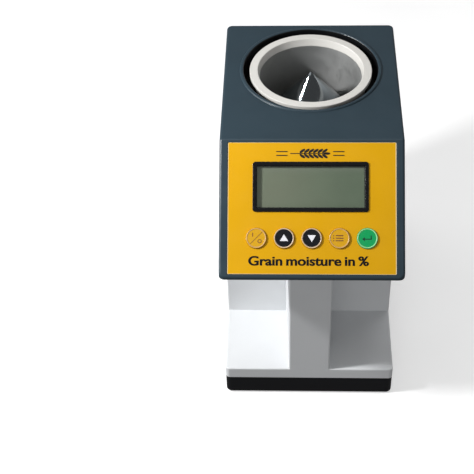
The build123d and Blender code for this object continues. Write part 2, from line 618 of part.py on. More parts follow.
with BuildPart() as cell_collar:
    with BuildSketch(cell_section()):
        with BuildLine():
            Polyline(
                (COLLAR_MOUTH_RADIUS, COLLAR_TOP_Z),
                (COLLAR_RADIUS, COLLAR_TOP_Z),
                (COLLAR_RADIUS, COLLAR_FLANGE_Z),
                (ELECTRODE_OUTER + COLLAR_WALL, COLLAR_FLANGE_Z - 1),
                (ELECTRODE_OUTER + COLLAR_WALL, COLLAR_SLEEVE_Z),
                (ELECTRODE_OUTER, COLLAR_SLEEVE_Z),
                (ELECTRODE_OUTER, ELECTRODE_TOP_Z),
                (ELECTRODE_RADIUS + 0.2, ELECTRODE_TOP_Z),
                close=True,
            )
        profile = make_face()
        fillet(profile.vertices().group_by(Axis.Y)[-1], 0.5)
    revolve(axis=cell_axis())
save(cell_collar, "cell_collar")

with BuildPart() as outer_electrode:
    with BuildSketch(Plane.XY.offset(ELECTRODE_FOOT_Z)):
        with Locations((0, CELL_Y)):
            Circle(ELECTRODE_OUTER)
            Circle(ELECTRODE_RADIUS, mode=Mode.SUBTRACT)
    extrude(amount=ELECTRODE_TOP_Z - ELECTRODE_FOOT_Z)
save(outer_electrode, "outer_electrode")

with BuildPart() as inner_electrode:
    inner_radius = CONE_BASE_RADIUS - CONE_WALL
    inner_tip_z = CONE_TIP_Z - CONE_WALL / sin(radians(CONE_HALF_ANGLE))
    inner_base_z = inner_tip_z - inner_radius / tan(radians(CONE_HALF_ANGLE))
    with BuildSketch(cell_section()):
        with BuildLine():
            Polyline(
                (0, CONE_TIP_Z),
                (CONE_BASE_RADIUS, CONE_BASE_Z),
                (CONE_BASE_RADIUS, CELL_FLOOR_Z),
                (inner_radius, CELL_FLOOR_Z),
                (inner_radius, inner_base_z),
                (STUD_RADIUS, inner_tip_z - STUD_RADIUS / tan(radians(CONE_HALF_ANGLE))),
                (STUD_RADIUS, CELL_FLOOR_Z),
                (0, CELL_FLOOR_Z),
                close=True,
            )
        make_face()
    revolve(axis=cell_axis())
    with BuildSketch(Plane.XY.offset(CELL_FLOOR_Z)):
        with Locations((0, CELL_Y)):
            Circle(M4_RADIUS)
    extrude(amount=STUD_TAP_DEPTH, mode=Mode.SUBTRACT)
save(inner_electrode, "inner_electrode")


def around_cell(orbit, angles):
    """Points on a circle about the cell's axis, as seen from above."""
    return [(orbit * cos(radians(a)), CELL_Y + orbit * sin(radians(a))) for a in angles]


PROBE_AT = around_cell(PROBE_ORBIT, [PROBE_ANGLE])
CARRIER_SCREWS_AT = around_cell(CARRIER_SCREW_ORBIT, [90, 210, 330])

with BuildPart() as cell_base:
    with BuildSketch(Plane.XY.offset(CELL_FLOOR_Z - CELL_BASE_THICKNESS)):
        with Locations((0, CELL_Y)):
            Circle(CELL_BASE_RADIUS)
            Circle(M4_CLEARANCE_RADIUS, mode=Mode.SUBTRACT)
        with Locations(*PROBE_AT):
            Circle(PROBE_RADIUS, mode=Mode.SUBTRACT)
    extrude(amount=CELL_BASE_THICKNESS)
    with BuildSketch(Plane.XY.offset(CELL_FLOOR_Z)):
        with Locations((0, CELL_Y)):
            Circle(ELECTRODE_OUTER)
            Circle(ELECTRODE_RADIUS, mode=Mode.SUBTRACT)
    extrude(amount=-GROOVE_DEPTH, mode=Mode.SUBTRACT)
    with BuildSketch(Plane.XY.offset(CELL_FLOOR_Z - CELL_BASE_THICKNESS)):
        with Locations(*CARRIER_SCREWS_AT):
            Circle(SCREW_RADIUS)
    extrude(amount=CARRIER_SCREW_DEPTH, mode=Mode.SUBTRACT)
save(cell_base, "cell_base")

with BuildPart() as temperature_probe:
    with BuildSketch(Plane.XY.offset(CELL_FLOOR_Z - CELL_BASE_THICKNESS)):
        with Locations(*PROBE_AT):
            Circle(PROBE_RADIUS)
    extrude(amount=CELL_BASE_THICKNESS + PROBE_HEIGHT)
    fillet(temperature_probe.faces().sort_by(Axis.Z)[-1].edges(), 1.4)
save(temperature_probe, "temperature_probe")


with BuildPart() as cell_carrier:
    with BuildSketch(Plane.XY.offset(CARRIER_Z)):
        with Locations((0, CELL_Y)):
            Circle(CELL_BASE_RADIUS)
            Circle(LARGE_HEAD_RADIUS + 1, mode=Mode.SUBTRACT)
        with Locations(*CARRIER_SCREWS_AT):
            Circle(CLEARANCE_RADIUS, mode=Mode.SUBTRACT)
        with Locations(*BAR_TAPS):
            Circle(M4_RADIUS, mode=Mode.SUBTRACT)
    extrude(amount=CARRIER_THICKNESS)
save(cell_carrier, "cell_carrier")

carrier_screws = screws(
    flipped(Plane.XY.offset(CARRIER_Z)),
    [(x, -y) for x, y in CARRIER_SCREWS_AT],
    SMALL_HEAD_RADIUS,
    SCREW_RADIUS,
    CARRIER_THICKNESS + CARRIER_SCREW_DEPTH,
)
save(carrier_screws, "carrier_screws")

electrode_screw = screws(
    flipped(Plane.XY.offset(CELL_FLOOR_Z - CELL_BASE_THICKNESS)),
    [(0, -CELL_Y)],
    LARGE_HEAD_RADIUS,
    M4_RADIUS,
    CELL_BASE_THICKNESS + STUD_TAP_DEPTH - 1,
)
save(electrode_screw, "electrode_screw")

with BuildPart() as load_cell_spacer:
    with BuildSketch(Plane.XY.offset(BAR_TOP_Z)):
        with Locations((BAR_MIDDLE_X, CELL_Y)):
            Rectangle(POST_LENGTH, BAR_SIDE)
        with Locations(*BAR_TAPS):
            Circle(M4_CLEARANCE_RADIUS, mode=Mode.SUBTRACT)
    extrude(amount=CARRIER_Z - BAR_TOP_Z)
save(load_cell_spacer, "load_cell_spacer")

with BuildPart() as load_cell:
    with BuildSketch(Plane.XZ.offset(-CELL_Y - BAR_SIDE / 2)):
        with Locations((0, BAR_Z + BAR_SIDE / 2)):
            Rectangle(BAR_LENGTH, BAR_SIDE)
            with Locations((BAR_FLEX_X, 0), (-BAR_FLEX_X, 0)):
                Circle(BAR_FLEX_RADIUS, mode=Mode.SUBTRACT)
            Rectangle(2 * BAR_FLEX_X, BAR_SLOT, mode=Mode.SUBTRACT)
    extrude(amount=BAR_SIDE)
    with BuildSketch(Plane.XY.offset(BAR_Z)):
        with Locations(*BAR_TAPS, *POST_TAPS):
            Circle(M4_CLEARANCE_RADIUS)
    extrude(amount=BAR_SIDE, mode=Mode.SUBTRACT)
save(load_cell, "load_cell")

live_end_screws = screws(
    flipped(Plane.XY.offset(BAR_Z)),
    [(x, -y) for x, y in BAR_TAPS],
    LARGE_HEAD_RADIUS,
    M4_RADIUS,
    CARRIER_Z + CARRIER_THICKNESS - BAR_Z - 0.4,
)
save(live_end_screws, "live_end_screws")

with BuildPart() as load_cell_post:
    with BuildSketch(Plane.XY.offset(TRAY_FLOOR_Z)):
        with Locations((-BAR_MIDDLE_X, CELL_Y)):
            Rectangle(POST_FOOT_LENGTH, POST_FOOT_WIDTH)
    extrude(amount=POST_FOOT_HEIGHT)
    with BuildSketch(Plane.XY.offset(TRAY_FLOOR_Z)):
        with Locations((-BAR_MIDDLE_X, CELL_Y)):
            Rectangle(POST_LENGTH, BAR_SIDE + 2)
    extrude(amount=BAR_Z - TRAY_FLOOR_Z)
    post_side = -BAR_MIDDLE_X + POST_LENGTH / 2
    rib_foot = TRAY_FLOOR_Z + POST_FOOT_HEIGHT
    with BuildSketch(Plane.XZ.offset(-CELL_Y)):
        with BuildLine():
            Polyline(
                (post_side, rib_foot),
                (post_side + POST_RIB_REACH, rib_foot),
                (post_side, rib_foot + POST_RIB_HEIGHT),
                close=True,
            )
        make_face()
    extrude(amount=RIB, both=True)
    with BuildSketch(Plane.XY.offset(BAR_Z)):
        with Locations(*POST_TAPS):
            Circle(M4_RADIUS)
    extrude(amount=-POST_TAP_DEPTH, mode=Mode.SUBTRACT)
    with BuildSketch(Plane.XY.offset(TRAY_FLOOR_Z)):
        with Locations(*POST_SCREWS_AT):
            Circle(SCREW_RADIUS)
    extrude(amount=POST_FOOT_HEIGHT, mode=Mode.SUBTRACT)
save(load_cell_post, "load_cell_post")

fixed_end_screws = screws(
    Plane.XY.offset(BAR_TOP_Z), POST_TAPS, LARGE_HEAD_RADIUS, M4_RADIUS, BAR_SIDE + POST_TAP_DEPTH - 1
)
save(fixed_end_screws, "fixed_end_screws")

# ---------------------------------------------------------------- batteries and door

with BuildPart() as battery_holder:
    with BuildSketch(Plane.XZ.offset(-HOLDER_BACK_Y)):
        with Locations((0, (HOLDER_Z[0] + HOLDER_Z[1]) / 2)):
            Rectangle(2 * HOLDER_HALF_WIDTH, HOLDER_Z[1] - HOLDER_Z[0])
    extrude(amount=HOLDER_BACK_Y - CRADLE_FRONT_Y)
    with BuildSketch(Plane.XZ.offset(-HOLDER_BACK_Y)):
        with Locations((0, (HOLDER_Z[0] + HOLDER_Z[1]) / 2)):
            Rectangle(2 * (HOLDER_HALF_WIDTH - HOLDER_WALL), HOLDER_Z[1] - HOLDER_Z[0] - 2 * HOLDER_WALL)
    extrude(amount=HOLDER_BACK_Y - CRADLE_FRONT_Y - HOLDER_WALL, mode=Mode.SUBTRACT)
save(battery_holder, "battery_holder")

with BuildPart() as battery_cells:
    with BuildSketch(Plane.YZ.offset(-AA_LENGTH / 2)):
        with Locations(*[(BATTERY_Y, z) for z in BATTERY_Z]):
            Circle(AA_RADIUS)
    extrude(amount=AA_LENGTH)
    fillet(battery_cells.edges(), 0.8)
    for i, z in enumerate(BATTERY_Z):
        tip_plane = Plane.YZ.offset(AA_LENGTH / 2) if i % 2 else flipped(Plane.YZ.offset(-AA_LENGTH / 2))
        with BuildSketch(tip_plane):
            with Locations((BATTERY_Y, z if i % 2 else -z)):
                Circle(BATTERY_CAP_RADIUS)
        extrude(amount=BATTERY_CAP_LENGTH)
save(battery_cells, "battery_cells")

CONTACT_X = HOLDER_HALF_WIDTH - HOLDER_WALL - CONTACT_THICKNESS

with BuildPart() as battery_contacts:
    for side in (1, -1):
        with BuildSketch(Plane.YZ.offset(side * CONTACT_X)):
            with Locations(*[(BATTERY_Y, z) for z in BATTERY_Z]):
                Rectangle(CONTACT_WIDTH, CONTACT_HEIGHT)
        extrude(amount=side * CONTACT_THICKNESS)
    for i, z in enumerate(BATTERY_Z):
        side = -1 if i % 2 else 1
        with BuildSketch(Plane.YZ.offset(side * AA_LENGTH / 2)):  # spring, as a thin sleeve
            with Locations((BATTERY_Y, z)):
                Circle(SPRING_RADIUS)
                Circle(SPRING_RADIUS - SPRING_WALL, mode=Mode.SUBTRACT)
        extrude(amount=side * (CONTACT_X - AA_LENGTH / 2))
        cap_end = AA_LENGTH / 2 + BATTERY_CAP_LENGTH
        with BuildSketch(Plane.YZ.offset(-side * cap_end)):  # button contact
            with Locations((BATTERY_Y, z)):
                Circle(BATTERY_CAP_RADIUS - 0.5)
        extrude(amount=-side * (CONTACT_X - cap_end))
save(battery_contacts, "battery_contacts")

with BuildPart() as battery_door:
    with BuildSketch(Plane.XZ.offset(-BASE_BACK_Y)):
        with Locations((0, (DOOR_TOP_Z + HINGE_Z) / 2)):
            Rectangle(2 * DOOR_HALF_WIDTH, DOOR_TOP_Z - HINGE_Z)
    extrude(amount=WALL)
    with BuildSketch(Plane.YZ):
        with Locations((HINGE_Y, HINGE_Z)):
            Circle(HINGE_RADIUS)
    extrude(amount=BARREL_HALF_LENGTH, both=True)
    for side in (1, -1):
        with BuildSketch(Plane.YZ.offset(side * HINGE_PIN_START)):
            with Locations((HINGE_Y, HINGE_Z)):
                Circle(HINGE_PIN_RADIUS + HINGE_CLEARANCE)
        extrude(amount=side * BARREL_HALF_LENGTH, mode=Mode.SUBTRACT)
    fillet(battery_door.edges().filter_by(Axis.X).group_by(Axis.Z)[-1].sort_by(Axis.Y)[-1], 0.6)
    with BuildSketch(Plane.XZ.offset(-BASE_BACK_Y)):
        with Locations(*[(0, DOOR_TOP_Z - GRIP_PITCH * (i + 2)) for i in range(4)]):
            SlotOverall(GRIP_WIDTH, GRIP_PITCH / 2)
    extrude(amount=GRIP_DEPTH, mode=Mode.SUBTRACT)
save(battery_door, "battery_door")

with BuildPart() as hinge_pins:
    for side in (1, -1):
        with BuildSketch(Plane.YZ.offset(side * (HINGE_PIN_START + 0.5))):
            with Locations((HINGE_Y, HINGE_Z)):
                Circle(HINGE_PIN_RADIUS)
        extrude(amount=side * (CRADLE_X + RIB - HINGE_PIN_START - 0.5))
save(hinge_pins, "hinge_pins")

# ---------------------------------------------------------------- power socket and fasteners

with BuildPart() as power_socket:
    with BuildSketch(Plane.XZ.offset(-BACK_Y)):
        with Locations((SOCKET_X, SOCKET_Z)):
            Circle(SOCKET_FLANGE_RADIUS)
    extrude(amount=BACK_Y - BASE_BACK_Y + SOCKET_RECESS)
    fillet(power_socket.faces().sort_by(Axis.Y)[-1].edges(), 0.35)
    with BuildSketch(Plane.XZ.offset(-BACK_Y + 1.0)):
        with Locations((SOCKET_X, SOCKET_Z)):
            Circle(SOCKET_BODY_RADIUS)
    extrude(amount=SOCKET_BORE_DEPTH + 3.0)
    with BuildSketch(Plane.XZ.offset(-BACK_Y)):
        with Locations((SOCKET_X, SOCKET_Z)):
            Circle(SOCKET_BORE_RADIUS)
            Circle(SOCKET_PIN_RADIUS, mode=Mode.SUBTRACT)
    extrude(amount=SOCKET_BORE_DEPTH, mode=Mode.SUBTRACT)
save(power_socket, "power_socket")

with BuildPart() as socket_nut:
    with BuildSketch(Plane.XZ.offset(WALL - BASE_BACK_Y)):
        with Locations((SOCKET_X, SOCKET_Z)):
            RegularPolygon(8.0, 6)
            Circle(SOCKET_BODY_RADIUS, mode=Mode.SUBTRACT)
    extrude(amount=2.5)
save(socket_nut, "socket_nut")

case_screws = screws(
    flipped(Plane.XY.offset(HEAD_BOTTOM_Z)),
    [(x, -y) for x, y in CASE_BOSSES],
    SMALL_HEAD_RADIUS,
    SCREW_RADIUS,
    WALL + CASE_PILOT_DEPTH - 1,
)
save(case_screws, "case_screws")

tray_screws = screws(
    flipped(Plane.XY.offset(TRAY_BOTTOM_Z + HEAD_POCKET)),
    [(x, -y) for x, y in TRAY_BOSSES],
    SMALL_HEAD_RADIUS,
    SCREW_RADIUS,
    WALL - HEAD_POCKET + TRAY_PILOT_DEPTH - 1,
)
save(tray_screws, "tray_screws")

post_screws = screws(
    flipped(Plane.XY.offset(TRAY_BOTTOM_Z + HEAD_POCKET)),
    [(x, -y) for x, y in POST_SCREWS_AT],
    SMALL_HEAD_RADIUS,
    SCREW_RADIUS,
    WALL - HEAD_POCKET + POST_FOOT_HEIGHT - 0.4,
)
save(post_screws, "post_screws")
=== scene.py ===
"""Looks of the grain moisture meter: materials, printed marks, floor, light and camera around its CAD."""

import json
import math

import bmesh
import bpy
from mathutils import Matrix, Vector


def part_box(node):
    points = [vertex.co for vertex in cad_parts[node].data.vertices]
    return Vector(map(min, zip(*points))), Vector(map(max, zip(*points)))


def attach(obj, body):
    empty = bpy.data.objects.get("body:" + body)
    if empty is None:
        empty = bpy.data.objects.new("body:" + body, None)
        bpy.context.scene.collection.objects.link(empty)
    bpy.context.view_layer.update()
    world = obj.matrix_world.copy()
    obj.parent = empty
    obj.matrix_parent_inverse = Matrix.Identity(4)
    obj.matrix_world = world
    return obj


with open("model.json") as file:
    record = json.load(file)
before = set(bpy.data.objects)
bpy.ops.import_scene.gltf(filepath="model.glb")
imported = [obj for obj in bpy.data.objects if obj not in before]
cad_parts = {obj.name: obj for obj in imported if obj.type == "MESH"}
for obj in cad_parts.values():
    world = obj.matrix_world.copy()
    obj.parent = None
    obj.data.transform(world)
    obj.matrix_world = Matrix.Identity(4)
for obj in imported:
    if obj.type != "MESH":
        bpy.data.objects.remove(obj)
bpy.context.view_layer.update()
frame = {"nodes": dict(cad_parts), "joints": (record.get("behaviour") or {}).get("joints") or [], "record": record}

NODES = frame["nodes"]
SLOTS = {entry["node"]: entry["material_slot"] for entry in frame["record"]["subparts"]}
MM = 0.001

# ---------------------------------------------------------------- places taken from the frame


def reach(node, direction):
    """How far a CAD node extends along a direction."""
    return max(vertex.co.dot(direction) for vertex in NODES[node].data.vertices)


def middle(node):
    """Centre of a CAD node's box."""
    low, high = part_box(node)
    return (low + high) / 2


def joint_axis(name):
    """Unit direction in which a joint moves its body."""
    return next(Vector(joint["axis"]).normalized() for joint in frame["joints"] if joint["name"] == name)


FACE_NORMAL = -joint_axis("key_down_press")
FACE_ACROSS = Vector((1, 0, 0))
FACE_UP = FACE_NORMAL.cross(FACE_ACROSS)
FACE_MIDDLE = middle("front_overlay")
OVERLAY_LEVEL = reach("front_overlay", FACE_NORMAL)
CELL_AXIS = middle("cell_collar")
LEVEL_AXES = (Vector((1, 0, 0)), Vector((0, 1, 0)))


def on_face(centre, level):
    """Matrix that lays a flat drawing on the sloping face, about a point, at a level along its normal."""
    lifted = centre + FACE_NORMAL * (level - centre.dot(FACE_NORMAL))
    turn = Matrix((FACE_ACROSS, FACE_UP, FACE_NORMAL)).transposed()
    return Matrix.Translation(lifted) @ turn.to_4x4()


# ---------------------------------------------------------------- node graph helper


class Graph:
    """A material's node tree, with short calls for the nodes used here. Sizes are in millimetres."""

    def __init__(self, name):
        self.material = bpy.data.materials.new(name)
        self.material.use_nodes = True
        self.tree = self.material.node_tree
        self.shader = self.tree.nodes["Principled BSDF"]
        self.output = self.tree.nodes["Material Output"]
        self.place = self.add("ShaderNodeTexCoord").outputs["Object"]

    def add(self, kind, **values):
        """New node. Values are set on its sockets by name, or linked when they are sockets."""
        node = self.tree.nodes.new(kind)
        for name, value in values.items():
            self.put(node, name.replace("_", " "), value)
        return node

    def put(self, node, name, value):
        """Sets or links one input socket."""
        socket = node.inputs[int(name)] if name.isdigit() else node.inputs[name]
        if isinstance(value, bpy.types.NodeSocket):
            self.tree.links.new(value, socket)
        else:
            socket.default_value = value

    def math(self, operation, first, second=0.0):
        """Result of a maths node."""
        node = self.tree.nodes.new("ShaderNodeMath")
        node.operation = operation
        self.put(node, "0", first)
        self.put(node, "1", second)
        return node.outputs[0]

    def noise(self, size, detail=3.0, roughness=0.5, stretch=(1, 1, 1)):
        """Noise from 0 to 1 whose features are about this many millimetres across."""
        mapping = self.add("ShaderNodeMapping", Vector=self.place, Scale=stretch)
        node = self.add("ShaderNodeTexNoise", Scale=1 / (size * MM), Detail=detail, Roughness=roughness)
        self.tree.links.new(mapping.outputs[0], node.inputs["Vector"])
        return node.outputs["Fac"]

    def ramp(self, value, low, high, start=0.0, end=1.0):
        """Smooth step of a value from low..high to start..end."""
        node = self.tree.nodes.new("ShaderNodeMapRange")
        node.interpolation_type = "SMOOTHSTEP"
        limits = (("From Min", low), ("From Max", high), ("To Min", start), ("To Max", end))
        for name, number in (("Value", value), *limits):
            self.put(node, name, number)
        return node.outputs[0]

    def mix(self, factor, first, second):
        """Blend of two colours."""
        node = self.tree.nodes.new("ShaderNodeMix")
        node.data_type = "RGBA"
        for index, value in ((0, factor), (6, first), (7, second)):
            if isinstance(value, bpy.types.NodeSocket):
                self.tree.links.new(value, node.inputs[index])
            else:
                node.inputs[index].default_value = value
        return node.outputs[2]

    def bump(self, height, depth, normal=None):
        """Bump normal from a height, with its depth in millimetres."""
        node = self.add("ShaderNodeBump", Height=height, Distance=depth * MM, Strength=1.0)
        if normal is not None:
            self.put(node, "Normal", normal)
        return node.outputs[0]

    def edges(self, radius):
        """Mask of the outer and inner edges, about this many millimetres wide, and their rounded normal."""
        rounded = self.tree.nodes.new("ShaderNodeBevel")
        rounded.samples = 6
        rounded.inputs["Radius"].default_value = radius * MM
        plain = self.tree.nodes.new("ShaderNodeNewGeometry").outputs["Normal"]
        dot = self.tree.nodes.new("ShaderNodeVectorMath")
        dot.operation = "DOT_PRODUCT"
        self.tree.links.new(rounded.outputs[0], dot.inputs[0])
        self.tree.links.new(plain, dot.inputs[1])
        return self.ramp(self.math("SUBTRACT", 1.0, dot.outputs["Value"]), 0.02, 0.25), rounded.outputs[0]

    def along(self, direction, origin):
        """Distance of the surface from an origin along a direction, in millimetres."""
        moved = self.tree.nodes.new("ShaderNodeVectorMath")
        moved.operation = "SUBTRACT"
        self.tree.links.new(self.place, moved.inputs[0])
        moved.inputs[1].default_value = origin
        dot = self.tree.nodes.new("ShaderNodeVectorMath")
        dot.operation = "DOT_PRODUCT"
        self.tree.links.new(moved.outputs[0], dot.inputs[0])
        dot.inputs[1].default_value = direction
        return self.math("DIVIDE", dot.outputs["Value"], MM)

    def radius_about(self, origin, across, up):
        """Distance of the surface from an axis through the origin, in millimetres."""
        x = self.along(across, origin)
        y = self.along(up, origin)
        squares = self.math("ADD", self.math("MULTIPLY", x, x), self.math("MULTIPLY", y, y))
        return self.math("SQRT", squares)

    def finish(self, **values):
        """Sets the main shader's inputs and returns the material."""
        for name, value in values.items():
            self.put(self.shader, name.replace("_", " "), value)
        return self.material


def rgb(red, green, blue):
    """Linear colour from screen values of 0 to 255."""
    def linear(value):
        value = value / 255
        return value / 12.92 if value <= 0.04045 else ((value + 0.055) / 1.055) ** 2.4
    return (linear(red), linear(green), linear(blue), 1.0)


def shade(colour, factor):
    """A colour made lighter or darker."""
    return tuple(min(1.0, channel * factor) for channel in colour[:3]) + (1.0,)


# ---------------------------------------------------------------- materials


def moulded_plastic(
    name, colour, roughness, grain=0.45, depth=0.012, wear=0.35, specular=0.5, mottling=0.05, well=None,
):
    """Injection-moulded plastic: spark-eroded grain, faint flow mottling, handled and lightly worn edges.
    A well, given by its axis and radius in millimetres, is coloured near-black inside as painted shade."""
    g = Graph(name)
    clouds = g.noise(34.0, detail=4.0)
    specks = g.noise(1.6, detail=2.0)
    tone = g.mix(g.ramp(clouds, 0.3, 0.7), shade(colour, 1 - mottling), shade(colour, 1 + mottling))
    tone = g.mix(g.ramp(specks, 0.45, 0.8, 0.0, 0.3), tone, shade(colour, 1 + 2.5 * mottling))
    edge, rounded = g.edges(0.5)
    scuffs = g.ramp(g.noise(2.4, detail=6.0, roughness=0.7), 0.42, 0.66)
    worn = g.math("MULTIPLY", g.math("MULTIPLY", edge, scuffs), wear)
    tone = g.mix(worn, tone, shade(colour, 1.9))
    if well:
        axis, radius = well
        # painted shade: inside the well the housing is coloured near-black, standing in for the shade of the deep
        # gap
        painted_well_shade = g.ramp(g.radius_about(axis, *LEVEL_AXES), radius, radius + 0.2, 1.0, 0.0)
        tone = g.mix(painted_well_shade, tone, rgb(14, 15, 17))
    handled = g.ramp(g.noise(11.0, detail=3.0), 0.35, 0.7, roughness - 0.03, roughness + 0.05)
    grains = g.math("ADD", g.noise(grain, detail=2.0), g.math("MULTIPLY", g.noise(grain * 3), 0.6))
    normal = g.bump(grains, depth, normal=rounded)
    return g.finish(Base_Color=tone, Roughness=handled, Normal=normal, Specular_IOR_Level=specular)


def printed_film(name, colour):
    """Polycarbonate overlay: even printed colour under a velvet surface, with a pale painted highlight along its
    edge.
    """
    g = Graph(name)
    low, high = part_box("front_overlay")
    half_width = (high.x - low.x) / 2 / MM
    half_height = (high - low).yz.length / 2 / MM
    x = g.math("ABSOLUTE", g.along(FACE_ACROSS, FACE_MIDDLE))
    y = g.math("ABSOLUTE", g.along(FACE_UP, FACE_MIDDLE))
    margin = g.math("MINIMUM", g.math("SUBTRACT", half_width, x), g.math("SUBTRACT", half_height, y))
    painted_edge_highlight = g.ramp(margin, 0.25, 0.6, 1.0, 0.0)
    tone = g.mix(g.ramp(g.noise(60.0), 0.3, 0.7), shade(colour, 0.96), shade(colour, 1.03))
    tone = g.mix(g.ramp(g.noise(0.9, detail=3.0), 0.5, 0.8, 0.0, 0.25), tone, shade(colour, 0.86))
    # painted highlight: a pale line coloured along the overlay's edge, where the edge would catch light
    tone = g.mix(g.math("MULTIPLY", painted_edge_highlight, 0.75), tone, rgb(250, 236, 196))
    scratches = g.ramp(g.noise(1.4, detail=6.0, stretch=(0.12, 1, 1)), 0.55, 0.75)
    smudges = g.ramp(g.noise(14.0, detail=5.0, roughness=0.7), 0.35, 0.7, 0.34, 0.46)
    normal = g.bump(g.noise(0.3, detail=2.0), 0.008, normal=g.bump(scratches, 0.002))
    return g.finish(Base_Color=tone, Roughness=smudges, Normal=normal, Specular_IOR_Level=0.3)


def gloss_plastic(name, colour):
    """Polished black frame: clear gloss with dust, wiping marks and soft orange peel, and a painted highlight
    along its edges.
    """
    g = Graph(name)
    dust = g.ramp(g.noise(0.8, detail=5.0, roughness=0.7), 0.6, 0.78, 0.0, 0.35)
    tone = g.mix(dust, colour, shade(colour, 3.0))
    edge, rounded = g.edges(0.3)
    # painted highlight: the frame's edges are coloured lighter
    tone = g.mix(g.math("MULTIPLY", edge, 0.2), tone, shade(colour, 3.0))
    wiped = g.ramp(g.noise(6.0, detail=5.0, stretch=(0.3, 1, 1)), 0.3, 0.7, 0.12, 0.28)
    normal = g.bump(g.noise(1.8, detail=2.0), 0.002, normal=rounded)
    return g.finish(Base_Color=tone, Roughness=wiped, Normal=normal)


def clear_lens(name):
    """Clear window: see-through, with a gloss that rises at grazing angles, and fine wiping scratches."""
    g = Graph(name)
    clear = g.add("ShaderNodeBsdfTransparent", Color=(0.93, 0.96, 0.94, 1.0))
    scratches = g.noise(0.7, detail=6.0, stretch=(0.1, 1, 1))
    normal = g.bump(scratches, 0.001)
    gloss = g.add("ShaderNodeBsdfGlossy", Roughness=g.ramp(scratches, 0.4, 0.8, 0.03, 0.12), Normal=normal)
    grazing = g.add("ShaderNodeLayerWeight", Blend=0.5).outputs["Facing"]
    mirrored = g.math("ADD", 0.04, g.math("MULTIPLY", g.math("POWER", grazing, 5.0), 0.9))
    blend = g.tree.nodes.new("ShaderNodeMixShader")
    g.tree.links.new(mirrored, blend.inputs[0])
    g.tree.links.new(clear.outputs[0], blend.inputs[1])
    g.tree.links.new(gloss.outputs[0], blend.inputs[2])
    g.tree.links.new(blend.outputs[0], g.output.inputs["Surface"])
    return g.material


def liquid_crystal(name):
    """Reflective display glass: grey-green, browner on one side and greener and darker on the other, that
    darkening being painted shade; paler at its top, a painted highlight; with a fine cell grid.
    """
    g = Graph(name)
    centre = middle("lcd_glass")
    across = g.along(FACE_ACROSS, centre)
    # the shift from browner to greener is the glass's own tint; the darkening towards the right is painted shade
    tone = g.mix(g.ramp(across, -30.0, 34.0), rgb(130, 130, 115), rgb(109, 118, 102))
    up = g.along(FACE_UP, centre)
    # painted highlight: a paler band coloured along the top of the glass
    tone = g.mix(g.ramp(up, 8.0, 14.5, 0.0, 0.5), tone, rgb(150, 150, 140))
    tone = g.mix(g.ramp(g.noise(22.0, detail=4.0), 0.3, 0.7, 0.0, 0.3), tone, rgb(132, 140, 122))
    rows = g.math("SINE", g.math("MULTIPLY", up, 2 * math.pi / 0.55))
    columns = g.math("SINE", g.math("MULTIPLY", across, 2 * math.pi / 0.55))
    cells = g.ramp(g.math("MAXIMUM", rows, columns), 0.9, 1.0, 0.0, 0.12)
    tone = g.mix(cells, tone, rgb(90, 98, 88))
    normal = g.bump(g.noise(0.5), 0.004)
    return g.finish(Base_Color=tone, Roughness=0.32, Normal=normal, Coat_Weight=0.4, Coat_Roughness=0.08)


def ringed_key(name, face_colour, ring_colour, skirt_colour):
    """Round key: coloured face inside a pale raised ring, in polished plastic."""
    g = Graph(name)
    centre = middle(name)
    radius = g.radius_about(centre, FACE_ACROSS, FACE_UP)
    speckle = g.ramp(g.noise(0.7, detail=3.0), 0.4, 0.8, 0.0, 0.25)
    face = g.mix(speckle, face_colour, shade(face_colour, 0.85))
    tone = g.mix(g.ramp(radius, 5.85, 6.05), face, ring_colour)
    tone = g.mix(g.ramp(radius, 6.55, 6.75), tone, skirt_colour)
    thumbed = g.ramp(g.noise(3.0, detail=5.0), 0.3, 0.7, 0.2, 0.36)
    edge, rounded = g.edges(0.25)
    normal = g.bump(g.noise(0.25, detail=2.0), 0.006, normal=rounded)
    return g.finish(Base_Color=tone, Roughness=thumbed, Normal=normal, Coat_Weight=0.3, Coat_Roughness=0.12)


ACROSS_GROOVES = 0.25  # quarter turn from the grooves' direction


def turned_metal(name, colour, roughness, node, anisotropy, pitch, depth, unevenness):
    """Lathe-turned metal: fine rings about the node's vertical axis, streaked highlights, faint stains."""
    g = Graph(name)
    centre = middle(node)
    radius = g.radius_about(centre, *LEVEL_AXES)
    height = g.along(Vector((0, 0, 1)), centre)
    travel = g.math("SUBTRACT", radius, height)
    wobble = g.math("MULTIPLY", g.noise(9.0), 0.3)
    rings = g.math("SINE", g.math("MULTIPLY", g.math("ADD", travel, wobble), 2 * math.pi / pitch))
    grooves = g.math("ADD", rings, g.noise(0.5, detail=6.0))
    stains = g.ramp(g.noise(13.0, detail=5.0, roughness=0.7), 0.4, 0.7)
    tone = g.mix(g.math("MULTIPLY", stains, 0.12), colour, shade(colour, 0.72))
    rough = g.ramp(g.noise(7.0, detail=6.0), 0.3, 0.7, roughness - unevenness, roughness + unevenness)
    tangent = g.tree.nodes.new("ShaderNodeTangent")
    tangent.direction_type = "RADIAL"
    tangent.axis = "Z"
    return g.finish(
        Base_Color=tone, Metallic=1.0, Roughness=rough, Normal=g.bump(grooves, depth),
        Anisotropic=anisotropy, Anisotropic_Rotation=ACROSS_GROOVES, Tangent=tangent.outputs[0],
    )


